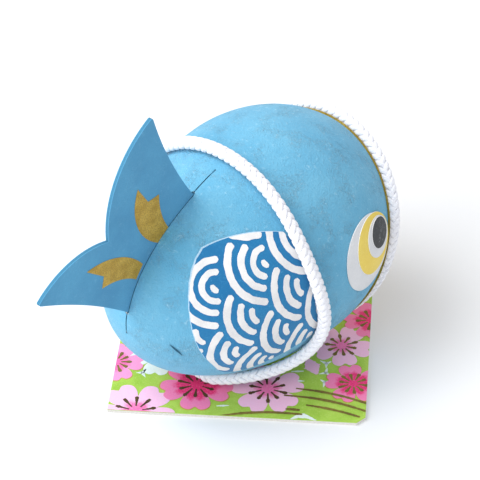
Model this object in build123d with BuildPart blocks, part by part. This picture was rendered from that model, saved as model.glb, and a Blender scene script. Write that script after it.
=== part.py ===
from build123d import *
import os
from math import cos, pi, radians, sin, sqrt, tan

# Papier-mache carp streamer ornament on its square paper-covered card.
# Millimetres. +Z is up, the carp swims towards -Y, its right side is -X, and the origin is the
# centre of the card's underside.

# Stand card
CARD_SIDE = 90.0
CARD_TURN = 38.3
LINER = 0.2
BOARD = 1.1
COVER = 0.2
CARD_TOP = LINER + BOARD + COVER
CORNER_CUT = 3.0

# Body: an egg turned about an axis that points slightly nose up
EGG_CENTRE = Vector(0, -9.1, 44.0)
EGG_PITCH = 4.4
REAR = 68.7
FRONT = 48.1
GIRTH = 42.9
SKIN = 0.3
WALL = 1.6
BELLY_Z = CARD_TOP + 0.5
GLUE_GAP = 0.02
PAPER = 0.3

# Mouth: a plane that faces forwards and down
MOUTH_PITCH = 22.0
MOUTH_CUT = 21.2
MOUTH_PANEL = 0.25
PANEL_OVERHANG = 0.7
MOUTH_OVERSHOOT = 1.0

# Cords
CORD_RADIUS = 2.3
MOUTH_RING_RADIUS = 38.0
MOUTH_RING_RISE = 4.3
GILL_CORNERS = 30
GILL_CLEARANCE = 0.35 + PAPER
# How far ahead of the egg's centre the gill cord lies: a mean, and cosine waves round the body
GILL_STATION = -23.3
GILL_WAVES = (6.9, -6.5, 4.7, -1.2)
ARC_SHARE = 0.45
ROUTE_TOLERANCE = 1e-6

# Tail
TAIL_CORE = 1.0
TAIL_PAPER = 0.2
MARK_PAPER = 0.12
TIP_RADIUS = 0.8
TAIL_SLOT = 1.5
SLIT = 0.5
SLIT_LOW = -6.0
SLIT_HIGH = 60.0
ROOT_LOW = 2.5
ROOT_HIGH = 45.5
REACH = 120.0

# Eye discs: centre and radius of each, in the eye's own plane, x forwards and y up
EYE_AT = (-10.25, 6.55)
EYE_NORMAL = Vector(-0.970, -0.189, 0.150)
EYE_DEPTH = 12.0
EYE_DISCS = [
    ("eye_white", (-0.3, -0.8), 13.9),
    ("eye_yellow", (2.3, 1.4), 11.0),
    ("eye_ring", (4.7, 2.9), 7.4),
    ("pupil", (5.2, 4.4), 5.5),
]

NOSE_DIR = Vector(0, -cos(radians(EGG_PITCH)), sin(radians(EGG_PITCH)))
MOUTH_DIR = Vector(0, -cos(radians(MOUTH_PITCH)), -sin(radians(MOUTH_PITCH)))
MOUTH_UP = Vector(0, -sin(radians(MOUTH_PITCH)), cos(radians(MOUTH_PITCH)))
EGG_PLANE = Plane(origin=EGG_CENTRE, x_dir=NOSE_DIR, z_dir=(-1, 0, 0))
MOUTH_PLANE = Plane(origin=EGG_CENTRE + MOUTH_DIR * MOUTH_CUT, x_dir=(1, 0, 0), z_dir=MOUTH_DIR)
# Looking at the carp's right side from its left: x rearwards, y up, centred on the egg
SIDE = Plane(origin=EGG_CENTRE, x_dir=(0, 1, 0), z_dir=(1, 0, 0))


def carp_form(depth, mouth=0.0):
    """The solid egg with its surface `depth` under the paper, cut off at the mouth and the belly."""
    with BuildPart() as form:
        with BuildSketch(EGG_PLANE):
            with BuildLine():
                EllipticalCenterArc((0, 0), REAR - depth, GIRTH - depth, 90, arc_size=90)
                EllipticalCenterArc((0, 0), FRONT - depth, GIRTH - depth, 0, arc_size=90)
                Line((depth - REAR, 0), (FRONT - depth, 0))
            make_face()
        revolve(axis=Axis(EGG_CENTRE, NOSE_DIR))
        split(bisect_by=MOUTH_PLANE.offset(mouth), keep=Keep.BOTTOM)
        split(bisect_by=Plane.XY.offset(BELLY_Z + max(depth, 0)), keep=Keep.TOP)
    return form.part


def wedge(thickness, low, high):
    """A thin upright plate in the plane of symmetry between two directions from the egg's centre."""
    with BuildPart() as plate:
        with BuildSketch(SIDE):
            with BuildLine():
                Polyline(
                    (0, 0),
                    (REACH * cos(radians(low)), REACH * sin(radians(low))),
                    (REACH * cos(radians(high)), REACH * sin(radians(high))),
                    close=True,
                )
            make_face()
        extrude(amount=thickness / 2, both=True)
    return plate.part


def surface_radius(direction, station, grow):
    """Distance out along `direction` from the level axis, `station` ahead of the egg's centre."""
    axial = station * cos(radians(EGG_PITCH))
    upward = station * sin(radians(EGG_PITCH))
    low, high = 0.0, REAR
    while high - low > ROUTE_TOLERANCE:
        reach = (low + high) / 2
        along = axial + reach * direction.Z * sin(radians(EGG_PITCH))
        rise = reach * direction.Z * cos(radians(EGG_PITCH)) - upward
        length = (FRONT if along > 0 else REAR) + grow
        inside = (along / length) ** 2 + (rise**2 + (reach * direction.X) ** 2) / (GIRTH + grow) ** 2
        low, high = (reach, high) if inside < 1 else (low, reach)
    return low


def gill_point(angle):
    """A corner of the gill cord's route: over the back, down the flanks and back under the belly."""
    waves = [wave * cos(order * angle) for order, wave in enumerate(GILL_WAVES, start=1)]
    station = GILL_STATION + sum(waves)
    direction = Vector(sin(angle), 0, cos(angle))
    reach = surface_radius(direction, station, CORD_RADIUS + GILL_CLEARANCE)
    return EGG_CENTRE + Vector(0, -station, 0) + direction * reach


def corner_radius(before, corner, after):
    """The largest arc that two runs of a route allow at their corner."""
    first, second = corner - before, after - corner
    turn = radians(first.get_angle(second))
    return ARC_SHARE * min(first.length, second.length) / tan(turn / 2)


def save(piece, label):
    """Names a finished piece and writes it to its own file."""
    piece.part.label = label
    export_step(piece.part, f"parts/{label}.step")


def make_card():
    """The stand: card core, white backing and printed paper, with the corner by the fin cut off."""
    height = 0.0
    for label, thickness in [("base_liner", LINER), ("base_board", BOARD), ("base_cover", COVER)]:
        with BuildPart() as sheet:
            with BuildSketch(Plane.XY.offset(height)) as outline:
                Rectangle(CARD_SIDE, CARD_SIDE, rotation=CARD_TURN)
                chamfer(outline.vertices().sort_by(Axis.X)[0], CORNER_CUT)
            extrude(amount=thickness)
        save(sheet, label)
        height += thickness


def make_body():
    """Two moulded paper halves and the blue paper over them, both slit at the back for the tail."""
    slit = wedge(SLIT, SLIT_LOW, SLIT_HIGH)
    slot = wedge(TAIL_SLOT, ROOT_LOW, ROOT_HIGH)
    with BuildPart() as body_skin:
        add(carp_form(0))
        add(carp_form(SKIN, mouth=MOUTH_OVERSHOOT), mode=Mode.SUBTRACT)
        add(slit, mode=Mode.SUBTRACT)
        add(slot, mode=Mode.SUBTRACT)
    save(body_skin, "body_skin")
    with BuildPart() as shell_right:
        add(carp_form(SKIN))
        add(carp_form(SKIN + WALL, mouth=MOUTH_OVERSHOOT), mode=Mode.SUBTRACT)
        add(slit, mode=Mode.SUBTRACT)
        add(slot, mode=Mode.SUBTRACT)
        split(bisect_by=Plane.YZ, keep=Keep.BOTTOM)
    save(shell_right, "shell_right")
    with BuildPart() as shell_left:
        add(mirror(shell_right.part, about=Plane.YZ))
    save(shell_left, "shell_left")


def make_mouth():
    """A gold card that closes the mouth, and the white cord on its rim."""
    with BuildPart() as mouth_panel:
        add(carp_form(-PANEL_OVERHANG, mouth=MOUTH_PANEL))
        split(bisect_by=MOUTH_PLANE, keep=Keep.TOP)
    save(mouth_panel, "mouth_panel")
    ring_centre = MOUTH_PLANE.origin + MOUTH_DIR * (MOUTH_PANEL + CORD_RADIUS + GLUE_GAP)
    ring_centre += MOUTH_UP * MOUTH_RING_RISE
    with BuildPart() as mouth_cord:
        with BuildSketch(Plane(origin=ring_centre, x_dir=MOUTH_UP, z_dir=(-1, 0, 0))):
            with Locations((MOUTH_RING_RADIUS, 0)):
                Circle(CORD_RADIUS)
        revolve(axis=Axis(ring_centre, MOUTH_DIR))
    save(mouth_cord, "mouth_cord")


def make_gill_cord():
    """A white cord glued all the way round the body."""
    turns = [2 * pi * (index + 0.5) / GILL_CORNERS for index in range(GILL_CORNERS)]
    corners = [gill_point(turn) for turn in turns]
    radii = [
        corner_radius(corners[index - 1], corners[index], corners[(index + 1) % GILL_CORNERS])
        for index in range(GILL_CORNERS)
    ]
    print("gill cord radii, mm:", [round(radius, 1) for radius in radii])
    with BuildPart() as gill_cord:
        with BuildLine() as route:
            FilletPolyline(corners, radius=radii, close=True)
        with BuildSketch(Plane(origin=route.line @ 0, z_dir=route.line % 0)):
            Circle(CORD_RADIUS)
        sweep(path=route.line)
    save(gill_cord, "gill_cord")
    length = sum(edge.length for edge in route.line.edges())
    expected = pi * CORD_RADIUS**2 * length
    print("gill cord volume / section x length:", round(gill_cord.part.volume / expected, 4))


def make_fins():
    """Side fins: a rounded petal of paper that follows the body, tucked under the gill cord."""
    with BuildPart() as fin_right:
        with BuildSketch(SIDE):
            with BuildLine():
                ThreePointArc((22.5, 27.2), (35.0, 28.9), (46.2, 26.2))
                ThreePointArc((46.2, 26.2), (58.8, 4.0), (51.0, -16.6))
                ThreePointArc((51.0, -16.6), (45.8, -22.8), (38.2, -23.6))
                ThreePointArc((38.2, -23.6), (27.0, -19.0), (15.5, -13.4))
                ThreePointArc((15.5, -13.4), (16.4, 6.0), (22.5, 27.2))
            make_face()
        extrude(amount=-REACH)
        add(carp_form(-GLUE_GAP - PAPER), mode=Mode.INTERSECT)
        add(carp_form(-GLUE_GAP, mouth=MOUTH_OVERSHOOT), mode=Mode.SUBTRACT)
    save(fin_right, "fin_right")
    with BuildPart() as fin_left:
        add(mirror(fin_right.part, about=Plane.YZ))
    save(fin_left, "fin_left")


def make_eyes():
    """Four paper discs on each side, stacked and shifted towards the nose, trimmed at the mouth."""
    rearwards, up = EYE_AT
    eye_x = -sqrt(1 - (rearwards / FRONT) ** 2 - (up / GIRTH) ** 2) * GIRTH
    eye_centre = EGG_CENTRE + Vector(eye_x, rearwards, up)
    forwards = EYE_NORMAL.cross(Vector(0, 0, -1)).normalized()
    eye_plane = Plane(origin=eye_centre, x_dir=forwards, z_dir=EYE_NORMAL)
    for layer, (label, centre, radius) in enumerate(EYE_DISCS):
        under = GLUE_GAP + layer * (PAPER + GLUE_GAP)
        with BuildPart() as disc_right:
            with BuildSketch(eye_plane):
                with Locations(centre):
                    Circle(radius)
            extrude(amount=EYE_DEPTH, both=True)
            add(carp_form(-under - PAPER), mode=Mode.INTERSECT)
            add(carp_form(-under, mouth=MOUTH_OVERSHOOT), mode=Mode.SUBTRACT)
        save(disc_right, f"{label}_right")
        with BuildPart() as disc_left:
            add(mirror(disc_right.part, about=Plane.YZ))
        save(disc_left, f"{label}_left")


def tail_outline(plane):
    """The forked tail, with a tab inside the body."""
    with BuildSketch(plane) as outline:
        with BuildLine():
            ThreePointArc((53.3, 75.8), (69.6, 60.0), (74.9, 37.8))
            ThreePointArc((74.9, 37.8), (91.0, 38.4), (106.6, 30.0))
            ThreePointArc((106.6, 30.0), (84.5, 16.9), (68.2, 4.0))
            Polyline((68.2, 4.0), (56.0, 7.0), (33.0, 26.0), (35.1, 34.4))
            ThreePointArc((35.1, 34.4), (46.6, 56.5), (53.3, 75.8))
        make_face()
        fillet(outline.vertices().sort_by(Axis.Y)[-1], TIP_RADIUS)
        fillet(outline.vertices().sort_by(Axis.X)[-1], TIP_RADIUS)
    return outline.sketch


def upper_mark(plane):
    """A swallow-tailed ribbon on the upper lobe."""
    with BuildSketch(plane) as outline:
        with BuildLine():
            Polyline((61.1, 51.4), (56.7, 44.0), (51.7, 44.3))
            ThreePointArc((51.7, 44.3), (51.0, 36.6), (47.9, 28.5))
            Line((47.9, 28.5), (52.8, 24.8))
            ThreePointArc((52.8, 24.8), (62.2, 37.4), (61.1, 51.4))
        make_face()
    return outline.sketch


def lower_mark(plane):
    """A swallow-tailed ribbon on the lower lobe."""
    with BuildSketch(plane) as outline:
        with BuildLine():
            Polyline((85.2, 31.4), (77.9, 25.3), (78.9, 20.8))
            ThreePointArc((78.9, 20.8), (71.2, 19.7), (63.6, 15.5))
            Line((63.6, 15.5), (60.2, 20.0))
            ThreePointArc((60.2, 20.0), (71.6, 29.4), (85.2, 31.4))
        make_face()
    return outline.sketch


def make_tail():
    """Card core in the slit, darker blue paper on both faces and gold ribbons on the paper."""
    with BuildPart() as tail_core:
        extrude(tail_outline(SIDE), amount=TAIL_CORE / 2, both=True)
    save(tail_core, "tail_core")
    face = TAIL_CORE / 2
    papers = [
        ("tail_skin", tail_outline, face, TAIL_PAPER),
        ("tail_mark_upper", upper_mark, face + TAIL_PAPER, MARK_PAPER),
        ("tail_mark_lower", lower_mark, face + TAIL_PAPER, MARK_PAPER),
    ]
    for label, outline, base, thickness in papers:
        with BuildPart() as right:
            extrude(outline(SIDE.offset(-base)), amount=-thickness)
            add(carp_form(-GLUE_GAP, mouth=MOUTH_OVERSHOOT), mode=Mode.SUBTRACT)
        save(right, f"{label}_right")
        with BuildPart() as left:
            add(mirror(right.part, about=Plane.YZ))
        save(left, f"{label}_left")


os.makedirs("parts", exist_ok=True)
make_card()
make_body()
make_mouth()
make_gill_cord()
make_fins()
make_eyes()
make_tail()
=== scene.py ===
"""A papier-mache carp streamer ornament on its square printed card: looks built around the CAD frame."""

import math
import random

import bmesh
import bpy
import numpy as np
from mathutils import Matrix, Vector, noise
from mathutils.geometry import convex_hull_2d


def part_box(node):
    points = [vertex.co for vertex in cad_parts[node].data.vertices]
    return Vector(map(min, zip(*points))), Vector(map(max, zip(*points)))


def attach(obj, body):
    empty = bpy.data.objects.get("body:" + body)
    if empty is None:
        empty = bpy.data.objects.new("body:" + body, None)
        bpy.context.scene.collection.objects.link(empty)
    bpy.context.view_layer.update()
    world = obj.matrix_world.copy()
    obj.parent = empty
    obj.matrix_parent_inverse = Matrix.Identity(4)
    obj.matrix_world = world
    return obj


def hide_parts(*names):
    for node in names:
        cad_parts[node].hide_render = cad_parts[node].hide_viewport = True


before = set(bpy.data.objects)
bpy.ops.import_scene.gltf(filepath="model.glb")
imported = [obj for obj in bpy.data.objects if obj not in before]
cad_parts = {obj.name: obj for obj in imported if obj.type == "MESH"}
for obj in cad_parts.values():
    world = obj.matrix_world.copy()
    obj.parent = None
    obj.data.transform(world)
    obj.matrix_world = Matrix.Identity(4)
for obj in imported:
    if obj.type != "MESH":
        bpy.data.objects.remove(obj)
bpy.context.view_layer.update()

MM = 0.001

# The body's egg, as in the CAD: its axis points slightly nose up
EGG_CENTRE = np.array((0, -9.1, 44.0)) * MM
EGG_PITCH = math.radians(4.4)
REAR = 68.7 * MM
FRONT = 48.1 * MM
GIRTH = 42.9 * MM
MOUTH_PITCH = math.radians(22.0)
MOUTH_CUT = 21.2 * MM
MOUTH_PANEL = 0.25 * MM
NOSE = np.array((0, -math.cos(EGG_PITCH), math.sin(EGG_PITCH)))
CROWN = np.array((0, math.sin(EGG_PITCH), math.cos(EGG_PITCH)))
MOUTH_DIR = np.array((0, -math.cos(MOUTH_PITCH), -math.sin(MOUTH_PITCH)))
MOUTH_UP = np.array((0, -math.sin(MOUTH_PITCH), math.cos(MOUTH_PITCH)))

# Papers
GLUE_GAP = 0.02 * MM
PAPER = 0.3 * MM
INK = 0.03 * MM

# Body paper: grid, slit and tail root
BODY_GRID = 132
SLIT_LOW = -6.0
SLIT_HIGH = 60.0
ROOT_LOW = 2.5
ROOT_HIGH = 45.5
SLIT_HALF = 0.14 * MM
ROOT_HALF = 0.76 * MM
SLIT_DEPTH = 0.26 * MM
LIP_COLUMNS = (0.0, 0.0, 0.08 * MM, 0.4 * MM, 1.1 * MM)

# Cords
CORD_RADIUS = 2.3 * MM
CORD_PITCH = 11.0 * MM
CORD_STEP = 0.42 * MM
STRAND_REACH = 1.42 * MM
STRAND_LIFT = 0.42 * MM
STRAND_HALF_WIDTH = 1.02 * MM
STRAND_HALF_DEPTH = 0.55 * MM
CORE_RADIUS = 1.25 * MM
MOUTH_RING_RADIUS = 38.0 * MM
MOUTH_RING_RISE = 4.3 * MM
GILL_STATION = -23.3 * MM
GILL_WAVES = (6.9 * MM, -6.5 * MM, 4.7 * MM, -1.2 * MM)
GILL_CLEARANCE = 0.45 * MM
GILL_TUCK = 2.4 * MM
CORD_REST = 0.2 * MM

# Eyes: centre and radius of each disc in the eye's own plane, x forwards and y up
EYE_AT = np.array((-10.25, 6.55)) * MM
EYE_NORMAL = np.array((-0.970, -0.189, 0.150))
EYE_DISCS = (
    ("eye_white", (-0.3, -0.8), 13.9, "eye_white_paper"),
    ("eye_yellow", (2.3, 1.4), 11.0, "eye_yellow_paper"),
    ("eye_ring", (4.7, 2.9), 7.4, "eye_white_paper"),
    ("pupil", (5.2, 4.4), 5.5, "pupil_paper"),
)

# Fin outline as arcs through three points, in the side plane: x rearwards, y up from the egg's centre
FIN_ARCS = (
    ((22.5, 27.2), (35.0, 28.9), (46.2, 26.2)),
    ((46.2, 26.2), (58.8, 4.0), (51.0, -16.6)),
    ((51.0, -16.6), (45.8, -22.8), (38.2, -23.6)),
    ((38.2, -23.6), (27.0, -19.0), (15.5, -13.4)),
    ((15.5, -13.4), (16.4, 6.0), (22.5, 27.2)),
)
# Wave scales: a slanting lattice in the side plane, with rows from the front one backwards
SCALE_START = np.array((9.0, 0.0))
SCALE_DOWN = np.array((5.5, -15.0))
SCALE_BACK = np.array((11.5, 10.5))
SCALE_ROWS = (range(0, 2), range(-1, 3), range(-1, 3), range(0, 3))
SCALE_RADII = (13.5, 9.0, 5.0)
STROKE_HALF = (1.18, 1.12, 1.03)
SCALE_GAP = 3.7
BAR_HALF = 0.95 * MM
BAR_RADIUS = 1.2 * MM
BAR_TILT = math.radians(-30)

# The small cut in the flank, in the side plane
CREASE = ((63.6, -4.4), (62.3, -6.7), (60.8, -9.3))
CREASE_HALF = 0.24

# The card's print, in the card's own plane: x and y along its sides from its centre
CARD_TURN = math.radians(38.3)
CARD_CUT = 3.0 * MM

SEED = 7
SHARP = math.radians(45)


def srgb(red, green, blue):
    """A linear colour from eight-bit screen values."""
    channels = [c / 255 for c in (red, green, blue)]
    return tuple(c / 12.92 if c < 0.04045 else ((c + 0.055) / 1.055) ** 2.4 for c in channels)


# ---------------------------------------------------------------- the egg


def egg_value(points, grow):
    """Under 1 inside the egg grown by `grow`, over 1 outside."""
    offset = points - EGG_CENTRE
    along = offset @ NOSE
    across = (offset**2).sum(-1) - along**2
    length = np.where(along > 0, FRONT, REAR) + grow
    return (along / length) ** 2 + across / (GIRTH + grow) ** 2


def cast_to_egg(points, direction, grow, reach=60 * MM):
    """Moves each point along `direction` on to the egg grown by `grow`."""
    points = np.asarray(points, float)
    direction = np.broadcast_to(direction, points.shape)
    low = np.full(len(points), -reach)
    high = np.full(len(points), reach)
    # The innermost end of the search is where each line passes closest to the axis
    offset = points - EGG_CENTRE
    low = np.maximum(low, -(offset * direction).sum(-1))
    for _ in range(46):
        middle = (low + high) / 2
        inside = egg_value(points + direction * middle[:, None], grow) < 1
        low = np.where(inside, middle, low)
        high = np.where(inside, high, middle)
    return points + direction * low[:, None]


def egg_normal(points):
    """Outward unit normals of the egg."""
    offset = points - EGG_CENTRE
    along = offset @ NOSE
    across = offset - along[:, None] * NOSE
    length = np.where(along > 0, FRONT, REAR)
    normal = NOSE * (along / length**2)[:, None] + across / GIRTH**2
    return normal / np.linalg.norm(normal, axis=1)[:, None]


def side_point(y, z, grow=0.0):
    """The point on the carp's right flank at (y, z) in the side plane, in metres."""
    start = EGG_CENTRE + np.stack([np.zeros(np.shape(y)), y, z], -1)
    return cast_to_egg(start, np.array((-1.0, 0, 0)), grow)


def smoothstep(value):
    """0 below 0, 1 above 1, smooth between."""
    value = np.clip(value, 0, 1)
    return value * value * (3 - 2 * value)


# ---------------------------------------------------------------- mesh helpers


def make_object(name, vertices, faces, materials, smooth=True):
    """A mesh object at the origin, with its place in its vertices."""
    mesh = bpy.data.meshes.new(name)
    mesh.from_pydata([tuple(v) for v in vertices], [], [tuple(f) for f in faces])
    mesh.update()
    return finish_mesh(name, mesh, materials, smooth)


def finish_mesh(name, mesh, materials, smooth=True):
    """Links a mesh as an object with its materials."""
    obj = bpy.data.objects.new(name, mesh)
    bpy.context.scene.collection.objects.link(obj)
    for item in materials:
        mesh.materials.append(item)
    if smooth:
        mesh.polygons.foreach_set("use_smooth", [True] * len(mesh.polygons))
    return obj


def place(obj, body, slot, *nodes):
    """Attaches a piece to what it rides on and hides the CAD nodes it stands for; slot is not used."""
    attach(obj, body)
    if nodes:
        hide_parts(*nodes)
    return obj


def mirrored(obj, name):
    """The same piece on the carp's left side."""
    mesh = obj.data.copy()
    mesh.name = name
    for vertex in mesh.vertices:
        vertex.co.x = -vertex.co.x
    mesh.flip_normals()
    twin = bpy.data.objects.new(name, mesh)
    bpy.context.scene.collection.objects.link(twin)
    return twin


def clip(bm, outline):
    """Cuts a mesh down to a convex outline, given as (point, outward direction) pairs."""
    for point, outward in outline:
        everything = bm.verts[:] + bm.edges[:] + bm.faces[:]
        bmesh.ops.bisect_plane(
            bm, geom=everything, dist=1e-8, plane_co=point, plane_no=outward, clear_outer=True
        )


def outline_planes(corners):
    """The clipping planes round a set of (x, y) corners, as planes along z."""
    corners = corners[convex_hull_2d([tuple(corner) for corner in corners])]
    centre = np.mean(corners, axis=0)
    planes = []
    for first, second in zip(corners, np.roll(corners, -1, axis=0)):
        edge = second - first
        outward = np.array((edge[1], -edge[0]))
        if outward @ (first - centre) < 0:
            outward = -outward
        planes.append((Vector((*first, 0)), Vector((*outward, 0)).normalized()))
    return planes


def arc_points(first, middle, last, count):
    """Points along the arc through three points, without the last."""
    (ax, ay), (bx, by), (cx, cy) = first, middle, last
    d = 2 * (ax * (by - cy) + bx * (cy - ay) + cx * (ay - by))
    a2, b2, c2 = ax * ax + ay * ay, bx * bx + by * by, cx * cx + cy * cy
    ox = (a2 * (by - cy) + b2 * (cy - ay) + c2 * (ay - by)) / d
    oy = (a2 * (cx - bx) + b2 * (ax - cx) + c2 * (bx - ax)) / d
    radius = math.hypot(ax - ox, ay - oy)
    angles = [math.atan2(y - oy, x - ox) for x, y in (first, middle, last)]
    sweep = (angles[2] - angles[0]) % (2 * math.pi)
    if (angles[1] - angles[0]) % (2 * math.pi) > sweep:
        sweep -= 2 * math.pi
    steps = [angles[0] + sweep * k / count for k in range(count)]
    return [(ox + radius * math.cos(a), oy + radius * math.sin(a)) for a in steps]


def flat_grid(low, high, step):
    """A bmesh grid over a rectangle in the xy plane."""
    bm = bmesh.new()
    columns = max(2, math.ceil((high[0] - low[0]) / step))
    rows = max(2, math.ceil((high[1] - low[1]) / step))
    xs = np.linspace(low[0], high[0], columns + 1)
    ys = np.linspace(low[1], high[1], rows + 1)
    verts = [[bm.verts.new((x, y, 0)) for x in xs] for y in ys]
    for r in range(rows):
        for c in range(columns):
            bm.faces.new((verts[r][c], verts[r][c + 1], verts[r + 1][c + 1], verts[r + 1][c]))
    return bm


def slab(name, bm, lower, upper, materials):
    """A closed sheet from a flat bmesh: its two faces are `lower` and `upper` of its points."""
    bm.verts.index_update()
    flat = np.array([v.co[:2] for v in bm.verts])
    faces = [[v.index for v in f.verts] for f in bm.faces]
    rim = [[loop.vert.index, loop.link_loop_next.vert.index] for e in bm.edges if e.is_boundary
           for loop in e.link_loops]
    bottom, top = lower(flat), upper(flat)
    count = len(flat)
    all_faces = [[i + count for i in f] for f in faces]
    all_faces += [f[::-1] for f in faces]
    all_faces += [[a, b, b + count, a + count] for a, b in rim]
    obj = make_object(name, np.concatenate([bottom, top]), all_faces, materials)
    for index in range(2 * len(faces), len(all_faces)):
        obj.data.polygons[index].use_smooth = False
        if len(materials) > 1:
            obj.data.polygons[index].material_index = 1
    bm.free()
    return recalculated(obj)


def recalculated(obj):
    """Turns a closed mesh's faces outwards."""
    bm = bmesh.new()
    bm.from_mesh(obj.data)
    bmesh.ops.recalc_face_normals(bm, faces=bm.faces[:])
    for edge in bm.edges:
        if edge.calc_face_angle(0) > SHARP:
            edge.smooth = False
    bm.to_mesh(obj.data)
    bm.free()
    return obj


# ---------------------------------------------------------------- materials


class Shader:
    """A Principled material and short ways to add nodes to it."""

    def __init__(self, name, roughness, specular=0.3, sheen=0.0):
        self.material = bpy.data.materials.new(name)
        self.material.use_nodes = True
        self.tree = self.material.node_tree
        self.bsdf = self.tree.nodes["Principled BSDF"]
        self.bsdf.inputs["Roughness"].default_value = roughness
        self.bsdf.inputs["Specular IOR Level"].default_value = specular
        self.bsdf.inputs["Sheen Weight"].default_value = sheen
        self.bsdf.inputs["Sheen Roughness"].default_value = 0.5
        self.place = self.tree.nodes.new("ShaderNodeTexCoord").outputs["Object"]

    def link(self, source, target):
        self.tree.links.new(source, target)

    def noise(self, scale, detail=3.0, roughness=0.55, distortion=0.0, stretch=None, place=None):
        node = self.tree.nodes.new("ShaderNodeTexNoise")
        node.inputs["Scale"].default_value = scale
        node.inputs["Detail"].default_value = detail
        node.inputs["Roughness"].default_value = roughness
        node.inputs["Distortion"].default_value = distortion
        source = place or self.place
        if stretch:
            mapping = self.tree.nodes.new("ShaderNodeMapping")
            mapping.inputs["Scale"].default_value = stretch
            mapping.inputs["Rotation"].default_value = (0.5, 0.9, 0.3)
            self.link(source, mapping.inputs["Vector"])
            source = mapping.outputs["Vector"]
        self.link(source, node.inputs["Vector"])
        return node.outputs["Fac"]

    def ramp(self, value, *stops):
        node = self.tree.nodes.new("ShaderNodeValToRGB")
        elements = node.color_ramp.elements
        while len(elements) < len(stops):
            elements.new(0.5)
        for element, (position, level) in zip(elements, stops):
            element.position = position
            element.color = (level, level, level, 1)
        self.link(value, node.inputs["Fac"])
        return node.outputs["Color"]

    def mix(self, amount, first, second, blend="MIX"):
        node = self.tree.nodes.new("ShaderNodeMix")
        node.data_type = "RGBA"
        node.blend_type = blend
        for value, socket in ((amount, 0), (first, 6), (second, 7)):
            if isinstance(value, bpy.types.NodeSocket):
                self.link(value, node.inputs[socket])
            elif socket == 0:
                node.inputs[socket].default_value = value
            else:
                node.inputs[socket].default_value = (*value, 1)
        return node.outputs[2]

    def math(self, operation, first, second=0.0):
        node = self.tree.nodes.new("ShaderNodeMath")
        node.operation = operation
        for value, socket in ((first, 0), (second, 1)):
            if isinstance(value, bpy.types.NodeSocket):
                self.link(value, node.inputs[socket])
            else:
                node.inputs[socket].default_value = value
        return node.outputs[0]

    def lines(self, scale, width, distortion=1.2, stretch=None):
        """Thin wandering lines, like fibres in hand-made paper: 1 on a line and 0 off it."""
        wander = self.noise(scale, 2.0, 0.5, distortion, stretch)
        off = self.math("ABSOLUTE", self.math("SUBTRACT", wander, 0.5))
        return self.ramp(off, (0.0, 1.0), (width, 0.0))

    def colour(self, source):
        self.link(source, self.bsdf.inputs["Base Color"])

    def bump(self, height, distance):
        node = self.tree.nodes.new("ShaderNodeBump")
        node.inputs["Strength"].default_value = 1.0
        node.inputs["Distance"].default_value = distance
        self.link(height, node.inputs["Height"])
        self.link(node.outputs["Normal"], self.bsdf.inputs["Normal"])

    def vary_roughness(self, source, low, high):
        node = self.tree.nodes.new("ShaderNodeMapRange")
        node.inputs["To Min"].default_value = low
        node.inputs["To Max"].default_value = high
        self.link(source, node.inputs["Value"])
        self.link(node.outputs["Result"], self.bsdf.inputs["Roughness"])


def fibrous_paper(name, base, deep, pale, fibres=0.5, grain=0.35, relief=0.05, roughness=0.82):
    """Hand-made paper: cloudy tone, fine tooth and pale wandering fibres."""
    shader = Shader(name, roughness, specular=0.25, sheen=0.15)
    clouds = shader.noise(55, 4.0, 0.6)
    tooth = shader.noise(1500, 3.0, 0.65)
    fleck = shader.noise(620, 3.0, 0.7, 0.6)
    tone = shader.mix(shader.ramp(clouds, (0.34, 0.0), (0.68, 1.0)), deep, base)
    speckled = shader.mix(shader.ramp(tooth, (0.36, grain), (0.62, 0.0)), tone, deep)
    flecked = shader.mix(shader.ramp(fleck, (0.60, 0.0), (0.78, grain)), speckled, pale)
    long_fibres = shader.lines(230, 0.010)
    short_fibres = shader.lines(640, 0.013, 2.0)
    gate = shader.ramp(shader.noise(120, 2.0), (0.48, 0.0), (0.62, fibres))
    threads = shader.math("MULTIPLY", shader.math("MAXIMUM", long_fibres, short_fibres), gate)
    shader.colour(shader.mix(threads, flecked, pale))
    height = shader.math("ADD", tooth, shader.math("MULTIPLY", threads, 0.8))
    height = shader.math("ADD", height, shader.math("MULTIPLY", fleck, 0.9))
    shader.bump(height, relief * MM * 2)
    shader.vary_roughness(fleck, roughness - 0.1, roughness + 0.1)
    return shader.material


def cut_edge(name, pale, deep):
    """The cut edge of a paper: pale, with short fibres."""
    shader = Shader(name, 0.9, specular=0.2)
    fuzz = shader.noise(2600, 3.0, 0.7)
    shader.colour(shader.mix(shader.ramp(fuzz, (0.35, 0.0), (0.65, 1.0)), deep, pale))
    shader.bump(fuzz, 0.08 * MM)
    return shader.material


def printed(name, base, deep, pale, roughness=0.7):
    """Silk-screen ink on soft paper: slightly uneven cover with the paper's tooth through it."""
    shader = Shader(name, roughness, specular=0.25, sheen=0.08)
    patches = shader.noise(140, 3.0, 0.6)
    tooth = shader.noise(1900, 3.0, 0.7)
    tone = shader.mix(shader.ramp(patches, (0.35, 0.0), (0.65, 1.0)), deep, base)
    shader.colour(shader.mix(shader.ramp(tooth, (0.52, 0.0), (0.74, 0.55)), tone, pale))
    shader.bump(tooth, 0.05 * MM)
    shader.vary_roughness(tooth, roughness - 0.08, roughness + 0.12)
    return shader.material


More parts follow.
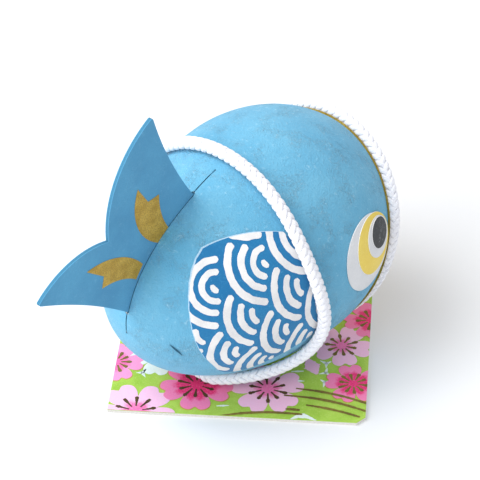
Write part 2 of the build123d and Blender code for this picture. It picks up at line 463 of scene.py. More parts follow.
def bloom_ink(name, heart, petal, fringe, edge):
    """Blossom ink that deepens towards the flower's heart, with a ragged boundary."""
    shader = Shader(name, 0.7, specular=0.25, sheen=0.08)
    reach = shader.tree.nodes.new("ShaderNodeAttribute")
    reach.attribute_name = "reach"
    ragged = shader.noise(700, 3.0, 0.7)
    shifted = shader.math("ADD", reach.outputs["Fac"], shader.math("MULTIPLY", ragged, 0.28))
    core = shader.ramp(shifted, (edge + 0.05, 1.0), (edge + 0.22, 0.0))
    tooth = shader.noise(1900, 3.0, 0.7)
    inner = shader.mix(core, petal, heart)
    shader.colour(shader.mix(shader.ramp(tooth, (0.5, 0.0), (0.75, 0.5)), inner, fringe))
    shader.bump(tooth, 0.05 * MM)
    return shader.material


def gold_paper(name):
    """Gold-printed paper: fine metallic grain over ochre."""
    shader = Shader(name, 0.48, specular=0.5)
    shader.bsdf.inputs["Metallic"].default_value = 0.25
    grain = shader.noise(2300, 2.0, 0.7)
    patches = shader.noise(260, 3.0, 0.6)
    tone = shader.mix(shader.ramp(patches, (0.35, 0.0), (0.65, 1.0)), srgb(184, 148, 48), srgb(214, 178, 76))
    shader.colour(shader.mix(shader.ramp(grain, (0.34, 0.75), (0.62, 0.0)), tone, srgb(140, 110, 34)))
    shader.bump(grain, 0.06 * MM)
    shader.vary_roughness(grain, 0.36, 0.62)
    return shader.material


def cord_yarn(name):
    """Soft white yarn with fine filaments along each strand."""
    shader = Shader(name, 0.72, specular=0.3, sheen=0.35)
    strand = shader.tree.nodes.new("ShaderNodeUVMap").outputs["UV"]
    filaments = shader.noise(1.0, 3.0, 0.6, 0.3, place=stretched(shader, strand, (26.0, 0.9, 1.0)))
    soft = shader.noise(900, 2.0, 0.6)
    shade = shader.ramp(filaments, (0.30, 0.55), (0.62, 0.0))
    shader.colour(shader.mix(shade, srgb(243, 243, 247), srgb(196, 197, 214)))
    height = shader.math("ADD", filaments, shader.math("MULTIPLY", soft, 0.4))
    shader.bump(height, 0.14 * MM)
    return shader.material


def stretched(shader, source, scale):
    """A coordinate scaled by `scale`."""
    mapping = shader.tree.nodes.new("ShaderNodeMapping")
    mapping.inputs["Scale"].default_value = scale
    shader.link(source, mapping.inputs["Vector"])
    return mapping.outputs["Vector"]


MATERIALS = {
    "blue_paper": fibrous_paper(
        "blue_paper", (0.165, 0.452, 0.640), (0.108, 0.372, 0.572), (0.42, 0.68, 0.82), grain=0.6, relief=0.18
    ),
    "tail_paper": fibrous_paper(
        "tail_paper", (0.092, 0.345, 0.560), (0.066, 0.270, 0.470), (0.19, 0.46, 0.66),
        fibres=0.25, grain=0.45,
    ),
    "fin_paper": fibrous_paper(
        "fin_paper", (0.022, 0.215, 0.440), (0.012, 0.150, 0.350), (0.08, 0.34, 0.58), fibres=0.25, grain=0.6
    ),
    "eye_white_paper": fibrous_paper(
        "eye_white_paper", (0.74, 0.745, 0.76), (0.62, 0.63, 0.65), (0.90, 0.90, 0.92), fibres=0.35
    ),
    "eye_yellow_paper": fibrous_paper(
        "eye_yellow_paper", (0.84, 0.66, 0.145), (0.76, 0.56, 0.09), (0.95, 0.82, 0.35), fibres=0.35
    ),
    "pupil_paper": fibrous_paper(
        "pupil_paper", (0.075, 0.080, 0.084), (0.030, 0.033, 0.036), (0.26, 0.27, 0.28), fibres=0.6, grain=0.8
    ),
    "wave_ink": printed("wave_ink", srgb(228, 226, 225), srgb(212, 211, 212), srgb(240, 239, 238)),
    "lime_print": printed("lime_print", srgb(172, 206, 82), srgb(150, 190, 62), srgb(204, 224, 130)),
    "white_ink": printed("white_ink", srgb(232, 240, 236), srgb(218, 230, 222), srgb(246, 250, 248)),
    "brown_ink": printed("brown_ink", srgb(130, 114, 48), srgb(98, 82, 36), srgb(176, 160, 84)),
    "umber_ink": printed("umber_ink", srgb(84, 64, 30), srgb(66, 48, 24), srgb(124, 98, 52)),
    "ochre_ink": printed("ochre_ink", srgb(190, 166, 66), srgb(172, 150, 52), srgb(214, 196, 110)),
    "light_bloom": bloom_ink(
        "light_bloom", srgb(232, 112, 170), srgb(244, 190, 220), srgb(250, 216, 234), 0.36
    ),
    "hot_bloom": bloom_ink("hot_bloom", srgb(232, 44, 116), srgb(242, 128, 176), srgb(248, 160, 200), 0.62),
    "pink_bloom": bloom_ink("pink_bloom", srgb(236, 104, 168), srgb(244, 150, 198), srgb(250, 180, 214), 0.5),
    "paper_edge": cut_edge("paper_edge", (0.52, 0.68, 0.80), (0.30, 0.50, 0.66)),
    # Dark blue edge paper for the slit's floor and walls and for the crease: painted shade in narrow gaps.
    "slit_shade": cut_edge("slit_shade", (0.035, 0.13, 0.21), (0.015, 0.07, 0.12)),
    # The tail core's cut edge paper is darkened as painted shade, so that its lit edge reads as dark as the
    # tail's shaded faces.
    "tail_edge_painted_shade": cut_edge("tail_edge_painted_shade", (0.060, 0.225, 0.360), (0.045, 0.170, 0.290)),
    "white_edge": cut_edge("white_edge", (0.86, 0.86, 0.86), (0.72, 0.72, 0.72)),
    "card_edge": cut_edge("card_edge", srgb(226, 222, 216), srgb(200, 196, 190)),
    "backing": fibrous_paper(
        "backing", (0.82, 0.82, 0.80), (0.74, 0.74, 0.72), (0.90, 0.90, 0.89), fibres=0.1
    ),
    "mache": fibrous_paper("mache", (0.62, 0.58, 0.50), (0.50, 0.46, 0.39), (0.75, 0.72, 0.66)),
    "gold_paper": gold_paper("gold_paper"),
    "white_cord": cord_yarn("white_cord"),
}


def dress_cad_nodes():
    """Gives each CAD node that stays its paper."""
    looks = {
        "base_liner": "backing",
        "base_board": "card_edge",
        "base_cover": "lime_print",
        "shell_left": "mache",
        "shell_right": "mache",
        "mouth_panel": "gold_paper",
        # The tail core's edges take the darkened edge paper: painted shade.
        "tail_core": "tail_edge_painted_shade",
    }
    for side in ("left", "right"):
        looks[f"tail_skin_{side}"] = "tail_paper"
        looks[f"tail_mark_upper_{side}"] = "gold_paper"
        looks[f"tail_mark_lower_{side}"] = "gold_paper"
    for node, look in looks.items():
        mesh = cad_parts[node].data
        mesh.materials.clear()
        mesh.materials.append(MATERIALS[look])


# ---------------------------------------------------------------- the body's paper


def slit_shape(angle):
    """Half width and depth of the slit at `angle` degrees above the rear, and how far it is open."""
    open_share = smoothstep((angle - SLIT_LOW) / 2.5) * smoothstep((SLIT_HIGH - angle) / 4.0)
    root = smoothstep((angle - ROOT_LOW + 0.6) / 0.8) * smoothstep((ROOT_HIGH + 0.6 - angle) / 0.8)
    half = SLIT_HALF + (ROOT_HALF - SLIT_HALF) * root
    return half, open_share


def unevenness(point):
    """How far the hand-laid paper stands out at a point, in millimetres."""
    place = Vector(point) / MM
    slow = noise.noise(place * 0.035) * 0.28
    medium = noise.noise(place * 0.11 + Vector((31, 7, 3))) * 0.07
    strips = 1 - abs(noise.noise(Vector((place.x * 0.05, place.y * 0.12, place.z * 0.05 + 9))))
    return slow + medium + 0.05 * max(0.0, strips - 0.93) * 14


def body_paper():
    """The blue paper over the body: an egg with laid-paper relief, the slit and its lips, with painted shade
    on the slit's floor and walls.
    """
    bm = bmesh.new()
    bmesh.ops.create_cube(bm, size=2.0)
    bmesh.ops.subdivide_edges(bm, edges=bm.edges[:], cuts=BODY_GRID - 1, use_grid_fill=True)
    cube = np.array([v.co for v in bm.verts])
    rounded = np.tan(cube * math.pi / 4)
    unit = rounded / np.linalg.norm(rounded, axis=1)[:, None]
    length = np.where(unit[:, 1] > 0, FRONT, REAR)
    offset = unit[:, 0:1] * GIRTH * np.array((1.0, 0, 0))
    offset = offset + (unit[:, 1] * length)[:, None] * NOSE + (unit[:, 2] * GIRTH)[:, None] * CROWN
    column = np.rint(np.abs(cube[:, 0]) * BODY_GRID / 2).astype(int)
    angle = np.degrees(np.arctan2(offset[:, 2], offset[:, 1]))
    half, opened = slit_shape(angle)
    near = (column < len(LIP_COLUMNS)) & (offset[:, 1] > -30 * MM)
    opened = np.where(near, opened, 0.0)
    lips = np.array(LIP_COLUMNS)[np.minimum(column, len(LIP_COLUMNS) - 1)]
    lip_x = np.where(column == 0, 0.0, half + lips) * np.sign(cube[:, 0])
    offset[:, 0] += (lip_x - offset[:, 0]) * opened
    valley = 0.06 * MM * np.exp(-((offset[:, 0] / (1.5 * MM)) ** 2)) * smoothstep(
        (angle - SLIT_LOW + 2) / 6
    ) * smoothstep((SLIT_HIGH + 2 - angle) / 6)
    depth = np.where(column <= 1, SLIT_DEPTH, 0.0) * opened + np.where(offset[:, 1] > 0, valley, 0)
    points = EGG_CENTRE + offset
    normals = egg_normal(points)
    relief = np.array([unevenness(p) for p in points]) * MM * 0.5
    points = points + normals * (relief - 0.08 * MM - depth)[:, None]
    for vertex, point in zip(bm.verts, points):
        vertex.co = point
    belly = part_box("body_skin")[0].z
    mouth = EGG_CENTRE + MOUTH_DIR * (MOUTH_CUT - GLUE_GAP)
    clip(bm, [(Vector((0, 0, belly)), Vector((0, 0, -1))), (Vector(mouth), Vector(MOUTH_DIR))])
    rims = [edge for edge in bm.edges if edge.is_boundary]
    bmesh.ops.holes_fill(bm, edges=rims, sides=0)
    mesh = bpy.data.meshes.new("body_paper")
    bm.to_mesh(mesh)
    bm.free()
    body = finish_mesh("body_paper", mesh, [MATERIALS["blue_paper"], MATERIALS["slit_shade"]])
    for polygon in mesh.polygons:
        polygon.use_smooth = len(polygon.vertices) <= 6
        centre = polygon.center - Vector(EGG_CENTRE)
        # The slit's floor and wall faces take the dark second material: painted shade inside the slit.
        if centre.y > 0 and len(polygon.vertices) <= 6:
            angle = math.degrees(math.atan2(centre.z, centre.y))
            half, opened = slit_shape(angle)
            if opened > 0.3 and abs(centre.x) < half + 0.04 * MM:
                polygon.material_index = 1
    return place(recalculated(body), "carp", "blue_paper", "body_skin")


# ---------------------------------------------------------------- braided cords


def closed_length(route):
    """Arc length at each point of a closed route, and its whole length."""
    steps = np.linalg.norm(np.roll(route, -1, axis=0) - route, axis=1)
    return np.concatenate([[0], np.cumsum(steps)])


def even_route(route, step):
    """A closed route resampled to even steps."""
    travelled = closed_length(route)
    count = round(travelled[-1] / step)
    wanted = np.arange(count) * travelled[-1] / count
    looped = np.vstack([route, route[:1]])
    return np.stack([np.interp(wanted, travelled, looped[:, k]) for k in range(3)], 1), travelled[-1]


def normalised(vectors):
    return vectors / np.linalg.norm(vectors, axis=1)[:, None]


def braid(name, route, *nodes):
    """A round eight-strand cord along a closed route: four strands each way, over two and under two."""
    centre, length = even_route(route, CORD_STEP)
    count = len(centre)
    turns = round(length / CORD_PITCH)
    tangent = normalised(np.roll(centre, -1, axis=0) - np.roll(centre, 1, axis=0))
    outward = centre - EGG_CENTRE
    outward = normalised(outward - (outward * tangent).sum(1)[:, None] * tangent)
    across = np.cross(tangent, outward)
    phase = np.arange(count) / count * 2 * math.pi * turns
    rng = random.Random(SEED)
    section = np.linspace(0, 2 * math.pi, 10, endpoint=False)
    vertices, faces, coordinates = [], [], []
    for handed, start_phase in ((1, math.pi / 4), (-1, 3 * math.pi / 4)):
        for index in range(4):
            lift = STRAND_LIFT * np.cos(2 * phase + index * math.pi + start_phase)
            wobble = 0.05 * np.sin(phase * 0.37 + rng.uniform(0, 6)) + 0.03 * np.sin(phase * 1.7 + index)
            theta = handed * phase + index * math.pi / 2 + wobble * smooth_loop(count)
            radial = np.cos(theta)[:, None] * outward + np.sin(theta)[:, None] * across
            line = centre + radial * (STRAND_REACH + lift)[:, None]
            along = normalised(np.roll(line, -1, axis=0) - np.roll(line, 1, axis=0))
            wide = normalised(np.cross(along, radial))
            thick = np.cross(wide, along)
            fullness = 1 + 0.06 * np.sin(phase * 0.9 + rng.uniform(0, 6)) * smooth_loop(count)
            base = sum(len(v) for v in vertices)
            half_width = (STRAND_HALF_WIDTH * fullness)[:, None, None]
            ring = (
                line[:, None]
                + wide[:, None] * half_width * shaped(np.cos(section))[None, :, None]
                + thick[:, None] * STRAND_HALF_DEPTH * np.sin(section)[None, :, None]
            )
            vertices.append(ring.reshape(-1, 3))
            faces += tube_faces(count, len(section), base)
            travelled = np.arange(count) * length / count / MM
            coordinates.append(np.stack([
                np.tile(section / (2 * math.pi) + index * 1.7 + handed, count),
                np.repeat(travelled, len(section)),
            ], 1))
    core = centre[:, None] + CORE_RADIUS * (
        outward[:, None] * np.cos(section)[None, :, None] + across[:, None] * np.sin(section)[None, :, None]
    )
    faces += tube_faces(count, len(section), sum(len(v) for v in vertices))
    vertices.append(core.reshape(-1, 3))
    coordinates.append(np.zeros((count * len(section), 2)))
    points = np.concatenate(vertices)
    points[:, 2] = np.maximum(points[:, 2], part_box("base_cover")[1].z + CORD_REST)
    cord = make_object(name, points, faces, [MATERIALS["white_cord"]])
    write_uv(cord.data, np.concatenate(coordinates))
    return place(cord, "carp", "white_cord", *nodes)


def smooth_loop(count):
    """0 at the ends of a loop and 1 over the rest, so that uneven waves close on themselves."""
    share = np.arange(count) / count
    return smoothstep(share * 12) * smoothstep((1 - share) * 12)


def shaped(cosine):
    """Squares off a strand's rounded sides a little."""
    return np.sign(cosine) * np.abs(cosine) ** 0.8


def tube_faces(count, sides, base):
    """Quads of a closed loop of tube."""
    faces = []
    for ring in range(count):
        after = (ring + 1) % count
        for side in range(sides):
            turn = (side + 1) % sides
            faces.append((
                base + ring * sides + side,
                base + ring * sides + turn,
                base + after * sides + turn,
                base + after * sides + side,
            ))
    return faces


def write_uv(mesh, coordinates):
    """Stores one pair of numbers for each vertex as the mesh's UV map."""
    layer = mesh.uv_layers.new(name="strand")
    corners = np.empty(len(mesh.loops), dtype=np.int32)
    mesh.loops.foreach_get("vertex_index", corners)
    layer.data.foreach_set("uv", coordinates[corners].astype(np.float32).ravel())


def gill_route():
    """Over the back, down the flanks and back under the belly, as in the CAD, but tucked in there."""
    turn = np.linspace(0, 2 * math.pi, 720, endpoint=False)
    station = GILL_STATION + sum(wave * np.cos((k + 1) * turn) for k, wave in enumerate(GILL_WAVES))
    start = EGG_CENTRE + np.stack([np.zeros_like(turn), -station, np.zeros_like(turn)], 1)
    direction = np.stack([np.sin(turn), np.zeros_like(turn), np.cos(turn)], 1)
    tuck = GILL_TUCK * smoothstep((math.radians(17) - np.abs(turn - math.pi)) / math.radians(8))
    return cast_to_egg(start, direction, CORD_RADIUS + GILL_CLEARANCE - tuck)


def mouth_route():
    """The circle of the mouth cord, as in the CAD, but eased back over the rim along its top."""
    turn = np.linspace(0, 2 * math.pi, 720, endpoint=False)
    centre = EGG_CENTRE + MOUTH_DIR * (MOUTH_CUT + MOUTH_PANEL + CORD_RADIUS + GLUE_GAP)
    centre = centre + MOUTH_UP * MOUTH_RING_RISE
    sideways = np.array((1.0, 0, 0))
    outward = np.cos(turn)[:, None] * MOUTH_UP + np.sin(turn)[:, None] * sideways
    return centre + outward * MOUTH_RING_RADIUS


# ---------------------------------------------------------------- fins and eyes


def fin_corners():
    """The fin's outline in the side plane, in metres."""
    points = []
    for arc in FIN_ARCS:
        points += arc_points(*arc, 12)
    return np.array(points) * MM


def fins():
    """The fins' blue paper, laid on the body."""
    corners = fin_corners()
    bm = flat_grid(corners.min(0), corners.max(0), 0.9 * MM)
    clip(bm, outline_planes(corners))
    right = slab(
        "fin_paper_right",
        bm,
        lambda flat: side_point(flat[:, 0], flat[:, 1], GLUE_GAP),
        lambda flat: side_point(flat[:, 0], flat[:, 1], GLUE_GAP + PAPER),
        [MATERIALS["fin_paper"], MATERIALS["paper_edge"]],
    )
    left = mirrored(right, "fin_paper_left")
    place(right, "carp", "fin_paper", "fin_right")
    place(left, "carp", "fin_paper", "fin_left")


def stroke(centre, frame_axes, radius, half, hidden, rng):
    """Round-ended strokes along the parts of an arc that no scale in front hides."""
    first, second = frame_axes
    angles = np.radians(np.arange(-205, 115, 1.0))
    ring = centre + radius * (
        np.cos(angles)[:, None] * first + np.sin(angles)[:, None] * second
    )
    seen = ~hidden(ring)
    runs, start = [], None
    for k, shown in enumerate(list(seen) + [False]):
        if shown and start is None:
            start = k
        if not shown and start is not None:
            runs.append((start, k - 1))
            start = None
    pieces = []
    for begin, end in runs:
        if (end - begin) * math.radians(1) * radius < 0.4 * half:
            continue
        pieces.append(ribbon(centre, frame_axes, radius, half, angles[begin], angles[end], rng))
    return pieces


def ribbon(centre, frame_axes, radius, half, begin, end, rng):
    """One stroke with round ends: a strip of quads, as rows of points across it."""
    first, second = frame_axes
    cap = half / radius
    count = max(8, round((end - begin + 2 * cap) * radius / (0.45 * MM)))
    angles = np.linspace(begin - cap, end + cap, count + 1)
    over = np.maximum(np.maximum(begin - angles, angles - end), 0) / cap
    breadth = half * np.sqrt(np.clip(1 - over**2, 0.0, 1)) + 0.02 * MM
    seed = rng.uniform(0, 100)
    wave = np.array([noise.noise(Vector((a * radius / MM * 0.45, seed, 0))) for a in angles])
    wave2 = np.array([noise.noise(Vector((a * radius / MM * 0.45, seed, 9))) for a in angles])
    fine = np.array([noise.noise(Vector((a * radius / MM * 1.9, seed, 4))) for a in angles])
    breadth = breadth * (1 + 0.16 * wave + 0.07 * fine)
    middle = radius + 0.22 * MM * wave2
    rows = []
    for share in (-1, -0.5, 0, 0.5, 1):
        reach = middle + breadth * share
        rows.append(centre + reach[:, None] * (
            np.cos(angles)[:, None] * first + np.sin(angles)[:, None] * second
        ))
    return np.stack(rows, 1)


def scale_centres():
    """Centres of the wave scales in the side plane, row by row from the front."""
    for back, row in enumerate(SCALE_ROWS):
        for down in row:
            yield SCALE_START + back * SCALE_BACK + down * SCALE_DOWN


def wave_print():
    """The off-white wave scales on the right fin: raised ink, and the same on the left."""
    rng = random.Random(SEED)
    planes = outline_planes(fin_corners())
    placed, pieces = [], []
    for y, z in scale_centres():
        centre = side_point(np.array([y * MM]), np.array([z * MM]), PAPER)[0]
        normal = egg_normal(centre[None])[0]
        second = np.cross(np.array((0.0, 1.0, 0)), normal)
        second = second / np.linalg.norm(second)
        second = second if second[2] > 0 else -second
        first = np.cross(second, normal)
        first = first if first[1] > 0 else -first

        def hidden(points, normal=normal, ahead=tuple(placed)):
            laid = cast_to_egg(points, normal, PAPER)
            covered = np.zeros(len(points), bool)
            for middle, reach in ahead:
                covered |= np.linalg.norm(laid - middle, axis=1) < reach
            return covered

        strokes = []
        for radius, half in zip(SCALE_RADII, STROKE_HALF):
            strokes += stroke(centre, (first, second), radius * MM, half * MM, hidden, rng)
        bar = ribbon(centre, (first, second), BAR_RADIUS, BAR_HALF, BAR_TILT - 0.35, BAR_TILT + 0.75, rng)
        if not hidden(bar[len(bar) // 2, 2][None])[0]:
            strokes.append(bar)
        pieces += [cast_to_egg(item.reshape(-1, 3), normal, PAPER).reshape(item.shape) for item in strokes]
        placed.append((centre, (SCALE_RADII[0] + SCALE_GAP) * MM))
    bm = bmesh.new()
    for piece in pieces:
        grid = [[bm.verts.new(side_flat(p)) for p in row] for row in piece]
        for before, after in zip(grid, grid[1:]):
            for k in range(len(before) - 1):
                bm.faces.new((before[k], before[k + 1], after[k + 1], after[k]))
    clip(bm, planes)
    right = slab(
        "fin_waves_right",
        bm,
        lambda flat: side_point(flat[:, 0], flat[:, 1], GLUE_GAP + PAPER - INK),
        lambda flat: side_point(flat[:, 0], flat[:, 1], GLUE_GAP + PAPER + 2 * INK),
        [MATERIALS["wave_ink"]],
    )
    left = mirrored(right, "fin_waves_left")
    place(right, "carp", "fin_paper")
    place(left, "carp", "fin_paper")


def side_flat(point):
    """A point as seen in the side plane."""
    offset = point - EGG_CENTRE
    return (offset[1], offset[2], 0)


def crease_cut():
    """A small cut in the body's paper low on the right flank, drawn as a thin dark strip laid on the paper:
    painted shade in the cut.
    """
    bm = bmesh.new()
    line = np.array(CREASE)
    places = np.linspace(0, 2, 25)
    line = np.stack([smooth_interpolate(places, line[:, k]) for k in range(2)], 1)
    along = np.gradient(line, axis=0)
    across = np.stack([-along[:, 1], along[:, 0]], 1) / np.linalg.norm(along, axis=1)[:, None]
    breadth = CREASE_HALF * np.sin(np.linspace(0.08, 3.06, 25))
    rows = [
        [bm.verts.new((*(point * MM), 0)) for point in line + across * (breadth * share)[:, None]]
        for share in (-1, 0, 1)
    ]
    for before, after in zip(rows, rows[1:]):
        for k in range(24):
            bm.faces.new((before[k], before[k + 1], after[k + 1], after[k]))
    crease_painted_shade = slab(
        "crease_painted_shade",
        bm,
        lambda flat: side_point(flat[:, 0], flat[:, 1], -0.1 * MM),
        lambda flat: side_point(flat[:, 0], flat[:, 1], 0.09 * MM),
        [MATERIALS["slit_shade"]],
    )
    place(crease_painted_shade, "carp", "blue_paper")


def eyes():
    """Four stacked paper discs on each side."""
    start = EGG_CENTRE + np.array((0, *EYE_AT))
    centre = cast_to_egg(start[None], np.array((-1.0, 0, 0)), 0.0)[0]
    forwards = normalised(np.cross(EYE_NORMAL, (0, 0, -1))[None])[0]
    up = np.cross(EYE_NORMAL, forwards)
    turn = np.linspace(0, 2 * math.pi, 72, endpoint=False)
    mouth = EGG_CENTRE + MOUTH_DIR * MOUTH_CUT
    for layer, (name, middle, radius, look) in enumerate(EYE_DISCS):
        rim = (np.array(middle) + radius * np.stack([np.cos(turn), np.sin(turn)], 1)) * MM
        bm = flat_grid(rim.min(0), rim.max(0), 0.6 * MM)
        clip(bm, outline_planes(rim))
        under = GLUE_GAP + layer * (PAPER + GLUE_GAP)

        def laid(flat, grow):
            plane_points = centre + flat[:, 0:1] * forwards + flat[:, 1:2] * up
            points = cast_to_egg(plane_points, EYE_NORMAL, grow)
            past = np.maximum((points - mouth) @ MOUTH_DIR, 0)
            return points - past[:, None] * MOUTH_DIR

        right = slab(
            f"{name}_paper_right",
            bm,
            lambda flat: laid(flat, under),
            lambda flat: laid(flat, under + PAPER),
            [MATERIALS[look], MATERIALS["white_edge"]],
        )
        left = mirrored(right, f"{name}_paper_left")
        place(right, "carp", look, f"{name}_right")
        place(left, "carp", look, f"{name}_left")


# ---------------------------------------------------------------- the card's print


class Print:
    """Shapes of one ink on the card, as a flat mesh in the card's own plane."""

    def __init__(self, name, look, layer):
        self.name = name
        self.look = look
        self.layer = layer
        self.bm = bmesh.new()
        self.reach = self.bm.verts.layers.float.new("reach")

    def rows(self, rows, reaches, closed=False):
        """Quads between rows of points."""
        made = []
        for row, reach in zip(rows, reaches):
            line = []
            for x, y in row:
                vertex = self.bm.verts.new((x * MM, y * MM, 0))
                vertex[self.reach] = reach
                line.append(vertex)
            made.append(line)
        for before, after in zip(made, made[1:]):
            last = len(before) if closed else len(before) - 1
            for k in range(last):
                n = (k + 1) % len(before)
                self.bm.faces.new((before[k], before[n], after[n], after[k]))
        return made

    def blossom(self, x, y, radius, turn, swell=1.0):
        """Five notched petals round a heart."""
        angles = np.radians(np.arange(0, 360, 3.0))
        outline = np.array([petal_reach(math.degrees(a)) for a in angles]) * radius * swell
        outline += (swell - 1) * RIM_MARGIN
        rows, reaches = [], []
        for share in (0.04, 0.2, 0.4, 0.6, 0.8, 0.92, 1.0):
            reach = outline * share
            rows.append([
                (x + r * math.cos(a + turn), y + r * math.sin(a + turn)) for r, a in zip(reach, angles)
            ])
            reaches.append(share)
        made = self.rows(rows, reaches, closed=True)
        self.bm.faces.new(made[0][::-1])

    def brush(self, points, widths):
        """A stroke through points with a width at each."""
        points = np.array(points, float)
        fine = np.linspace(0, len(points) - 1, (len(points) - 1) * 14 + 1)
        line = np.stack([smooth_interpolate(fine, points[:, k]) for k in range(2)], 1)
        breadth = np.interp(fine, range(len(widths)), widths)
        along = np.gradient(line, axis=0)
        across = np.stack([-along[:, 1], along[:, 0]], 1) / np.linalg.norm(along, axis=1)[:, None]
        ragged = np.array([noise.noise(Vector((p[0] * 1.6, p[1] * 1.6, 2))) for p in line])
        half = breadth / 2 * (1 + 0.35 * ragged)
        rows = [line + across * (half * share)[:, None] for share in (-1, 0, 1)]
        self.rows([list(r) for r in rows], [0.5] * 3)

    def finish(self):
        """Cuts the ink to the card and lays it on top."""
        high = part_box("base_cover")[1]
        clip(self.bm, card_planes())
        top = high.z
        self.bm.verts.index_update()
        reach = [v[self.reach] for v in self.bm.verts]
        rise = self.layer * INK

        def laid(height):
            def to_card(flat):
                x = flat[:, 0] * math.cos(CARD_TURN) - flat[:, 1] * math.sin(CARD_TURN)
                y = flat[:, 0] * math.sin(CARD_TURN) + flat[:, 1] * math.cos(CARD_TURN)
                return np.stack([x, y, np.full(len(flat), top + height)], 1)

            return to_card

        obj = slab(self.name, self.bm, laid(rise - INK * 0.9), laid(rise), [MATERIALS[self.look]])
        attribute = obj.data.attributes.new("reach", "FLOAT", "POINT")
        attribute.data.foreach_set("value", np.array(reach * 2, np.float32))
        return place(obj, "stand", "printed_paper")


def petal_reach(degrees):
    """How far a blossom's outline lies from its heart, as a share of its radius."""
    off = (degrees + 36) % 72 - 36
    notch = 0.13 * math.exp(-((off / 5.5) ** 2))
    shoulder = 0.47 * (abs(off) / 36) ** 5
    return 1.0 - notch - shoulder


def smooth_interpolate(places, values):
    """A smooth curve through evenly numbered values."""
    count = len(values)
    padded = np.concatenate([[2 * values[0] - values[1]], values, [2 * values[-1] - values[-2]]])
    cell = np.minimum(places.astype(int), count - 2)
    t = places - cell
    a, b, c, d = padded[cell], padded[cell + 1], padded[cell + 2], padded[cell + 3]
    return 0.5 * (2 * b + (c - a) * t + (2 * a - 5 * b + 4 * c - d) * t**2 + (3 * b - a - 3 * c + d) * t**3)


def card_planes():
    """The card's four sides and its cut corner, in the card's own plane."""
    half = card_half()
    corners = np.array([
        (half, half), (half, -half), (-half, -half), (-half, half - CARD_CUT), (-half + CARD_CUT, half)
    ])
    return outline_planes(corners)


def card_half():
    """Half the card's side, from its box."""
    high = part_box("base_cover")[1]
    reach = math.cos(CARD_TURN) + math.sin(CARD_TURN)
    return (high.x + high.x) / reach / 2


# Blossoms: x, y and radius in millimetres, turn in degrees, ink, and the length of the stamens
# Laid out on a 5 mm grid: x, y, radius, turn in degrees and ink
BLOSSOMS = (
    (-35, 5, 11, 100, "light_bloom"),
    (-10, 30, 13, 60, "light_bloom"),
    (-40, 25, 10, 65, "hot_bloom"),
    (15, 30, 13, 20, "hot_bloom"),
    (35, 45, 14, 90, "light_bloom"),
    (45, 20, 10, 110, "pink_bloom"),
    (-45, -10, 10, 10, "hot_bloom"),
    (30, 15, 11, 15, "white_bloom"),
    (10, 5, 11, 40, "pink_bloom"),
    (-15, -15, 13, 80, "light_bloom"),
    (30, -15, 12, 30, "hot_bloom"),
    (5, -40, 12, 55, "light_bloom"),
    (-35, -40, 11, 10, "pink_bloom"),
    (40, -45, 11, 70, "light_bloom"),
)
RIM_SWELL = 1.035
RIM_MARGIN = 0.4
STAMEN_SHARE = 0.46
UMBER_FROM = 12
# Streams all bend alike: where each begins and ends along the card, and its height at the bend
STREAMS = (
    (-20, -46, 29), (-16, -46, 33), (-24, -43, 37), (-17, -22, 40),
    (8, -23, 42), (18, -12, -9), (22, -12, -30), (20, -14, -34),
)
STREAM_BEND = -16
STREAM_CURL = 0.007
SPRIGS = (
    (-30, 15, 90), (-30, 20, 20), (-20, 25, 300), (-30, 25, 200), (35, 25, 240),
    (20, 10, 40), (-5, 10, 150), (-30, -25, 70), (20, -45, 10), (40, -5, 100),
)
DASHES = ((-20, 20), (40, 35), (5, 40), (15, -20), (-40, -20))
DASH_HALF = np.array((2.2, 0.3))


def card_print():
    """Blossoms, stamens, streams, sprigs and dashes on the card's lime paper."""
    outline = Print("print_outline", "ochre_ink", 1)
    brown = Print("print_brown", "brown_ink", 5)
    umber = Print("print_umber", "umber_ink", 5)
    white = Print("print_white", "white_ink", 2)
    inks = {
        "light_bloom": Print("print_light_blossom", "light_bloom", 3),
        "pink_bloom": Print("print_pink_blossom", "pink_bloom", 3),
        "hot_bloom": Print("print_hot_blossom", "hot_bloom", 4),
        "white_bloom": white,
    }
    for x, y, radius, turn, ink in BLOSSOMS:
        stamen = radius * STAMEN_SHARE
        turn = math.radians(turn)
        inks[ink].blossom(x, y, radius, turn)
        if ink in ("hot_bloom", "pink_bloom"):
            outline.blossom(x, y, radius, turn, swell=RIM_SWELL)
        ink_of_stamens = umber if radius >= UMBER_FROM else brown
        for k in range(10):
            a = turn + math.radians(36) * k + 0.06 * math.sin(7 * k + x)
            reach = stamen * (1 + 0.07 * math.sin(3 * k + y))
            shares = (0.38, 0.72, 1.0, 1.16)
            spots = [(x + reach * share * math.cos(a), y + reach * share * math.sin(a)) for share in shares]
            ink_of_stamens.brush(spots, (0.5, 0.75, 1.5, 0.9))
    inks["light_bloom"].brush(((-23, 13), (-25, 17), (-27, 21)), (1.2, 6.2, 1.0))
    for begin, end, height in STREAMS:
        places = np.linspace(begin, end, 4)
        line = np.stack([places, height + STREAM_CURL * (places - STREAM_BEND) ** 2], 1)
        brown.brush(line, (0.7, 1.15, 1.15, 0.9))
    for x, y, turn in SPRIGS:
        for arm, size in ((0, 2.4), (125, 2.1), (240, 2.7)):
            a = math.radians(turn + arm)
            ends = [(x, y), (x + size * 0.5 * math.cos(a), y + size * 0.5 * math.sin(a)),
                    (x + size * math.cos(a), y + size * math.sin(a))]
            white.brush(ends, (1.3, 0.8, 0.2))
    for middle in np.array(DASHES, float):
        white.brush((middle - DASH_HALF, middle, middle + DASH_HALF), (0.3, 0.9, 0.3))
    white.brush(((-19, 45), (-23, 43), (-28, 45)), (0.4, 2.6, 0.4))
    for sheet in (outline, white, inks["light_bloom"], inks["pink_bloom"], inks["hot_bloom"], brown, umber):
        sheet.finish()


# ---------------------------------------------------------------- stage, light and camera

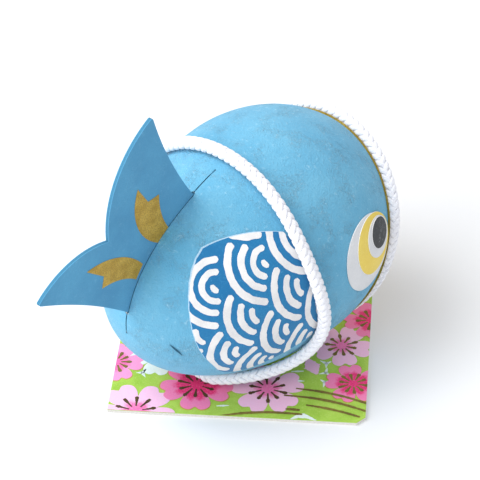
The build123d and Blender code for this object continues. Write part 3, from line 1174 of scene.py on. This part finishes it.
CAMERA_AZIMUTH = math.radians(222.78)
CAMERA_ELEVATION = math.radians(38.5)
CAMERA_DISTANCE = 0.7798
CAMERA_LENS = 165.55


def view_axes():
    """Directions to the camera, to the right of the view and up it."""
    back = Vector((
        math.sin(CAMERA_AZIMUTH) * math.cos(CAMERA_ELEVATION),
        -math.cos(CAMERA_AZIMUTH) * math.cos(CAMERA_ELEVATION),
        math.sin(CAMERA_ELEVATION),
    ))
    right = Vector((math.cos(CAMERA_AZIMUTH), math.sin(CAMERA_AZIMUTH), 0))
    return back, right, back.cross(right)


def camera():
    """The camera, above and behind the carp's right side."""
    back, _, _ = view_axes()
    data = bpy.data.cameras.new("camera")
    data.lens = CAMERA_LENS
    data.sensor_width = 36
    data.shift_x = -0.0231
    data.shift_y = 0.0118
    data.clip_start = 0.01
    obj = bpy.data.objects.new("camera", data)
    bpy.context.scene.collection.objects.link(obj)
    target = Vector((0, -0.00269, 0.040))
    obj.location = target + back * CAMERA_DISTANCE
    obj.rotation_euler = back.to_track_quat("Z", "Y").to_euler()
    bpy.context.scene.camera = obj


def area_light(name, direction, distance, size, power, colour=(1, 1, 1)):
    """A soft square light that points at the carp."""
    data = bpy.data.lights.new(name, "AREA")
    data.size = size
    data.energy = power
    data.color = colour
    obj = bpy.data.objects.new(name, data)
    bpy.context.scene.collection.objects.link(obj)
    direction = Vector(direction).normalized()
    obj.location = Vector(EGG_CENTRE) + direction * distance
    obj.rotation_euler = direction.to_track_quat("Z", "Y").to_euler()


def stage():
    """A pale floor, a big key light from the upper left of the view and soft fill."""
    back, right, _ = view_axes()
    floor_shader = Shader("floor", 0.6, specular=0.2)
    wash = floor_shader.noise(3, 2.0)
    floor_shader.colour(floor_shader.mix(wash, (0.78, 0.79, 0.81), (0.81, 0.815, 0.83)))
    floor = make_object(
        "floor", [(-3, -3, 0), (3, -3, 0), (3, 3, 0), (-3, 3, 0)], [(0, 1, 2, 3)], [floor_shader.material]
    )
    left = -right
    area_light("key", Vector((0, 0, 1.1)) + left * 0.75, 0.9, 0.6, 5.8)
    area_light("fill", back + left * 0.9, 1.2, 0.9, 7.0)
    world = bpy.data.worlds.new("studio")
    bpy.context.scene.world = world
    world.use_nodes = True
    background = world.node_tree.nodes["Background"]
    background.inputs["Color"].default_value = (0.96, 0.98, 1.0, 1)
    background.inputs["Strength"].default_value = 0.86
    bpy.context.scene.view_settings.view_transform = "Standard"


camera()
braid("gill_braid", gill_route(), "gill_cord")
braid("mouth_braid", mouth_route(), "mouth_cord")
dress_cad_nodes()
body_paper()
fins()
wave_print()
crease_cut()
eyes()
card_print()
stage()
